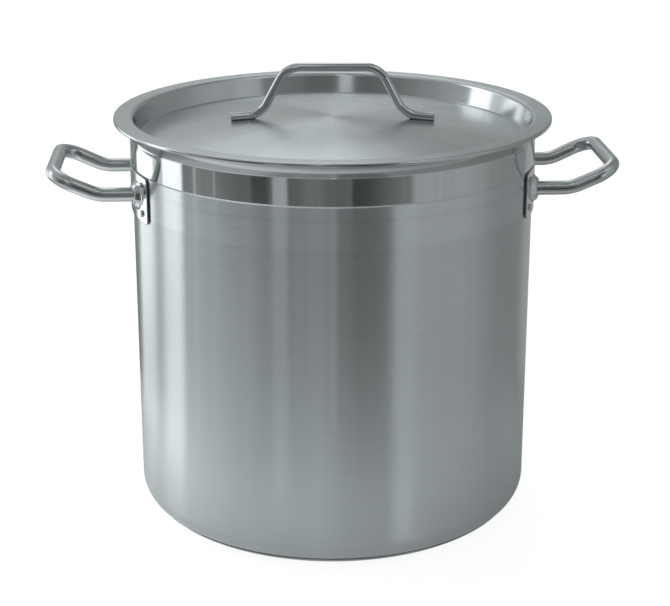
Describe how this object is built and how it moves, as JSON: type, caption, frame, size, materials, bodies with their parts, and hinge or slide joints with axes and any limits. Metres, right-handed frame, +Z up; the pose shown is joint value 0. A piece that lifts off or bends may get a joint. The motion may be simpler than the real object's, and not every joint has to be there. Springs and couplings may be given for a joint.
{
  "type": "stockpot",
  "caption": "Tall straight-sided stainless stockpot with a sealed heat-spreading base, flared lip, riveted tube handles at the sides and a lift-off lid with a bent rod handle.",
  "frame": {"origin": "centre of the base, on the surface that the pot stands on", "axes": "+X through the side handles, +Y away from the viewer, +Z up along the pot's axis"},
  "size_m": [0.451, 0.3468, 0.3658],
  "materials": {
    "brushed_body": "stainless, brushed round the wall, mirror-polished neck",
    "base_steel": "stainless, turned",
    "core_aluminium": "bare",
    "polished_fittings": "stainless, polished",
    "satin_tube": "stainless, satin-polished along its length",
    "turned_lid": "stainless, brushed in circles"
  },
  "bodies": {
    "pot": {"pot_body": "brushed_body", "base_core": "core_aluminium", "base_cap": "base_steel", "left_handle_plate": "polished_fittings", "left_handle_tube": "satin_tube", "left_front_upper_rivet": "polished_fittings", "left_front_lower_rivet": "polished_fittings", "left_back_upper_rivet": "polished_fittings", "left_back_lower_rivet": "polished_fittings", "right_handle_plate": "polished_fittings", "right_handle_tube": "satin_tube", "right_front_upper_rivet": "polished_fittings", "right_front_lower_rivet": "polished_fittings", "right_back_upper_rivet": "polished_fittings", "right_back_lower_rivet": "polished_fittings"},
    "lid": {"lid_pan": "turned_lid", "lid_handle": "satin_tube"}
  },
  "joints": [
    {"name": "lid_lift", "type": "slide", "parent": "pot", "child": "lid", "axis": [0, 0, 1], "range_m": [0, 0.3]}
  ]
}
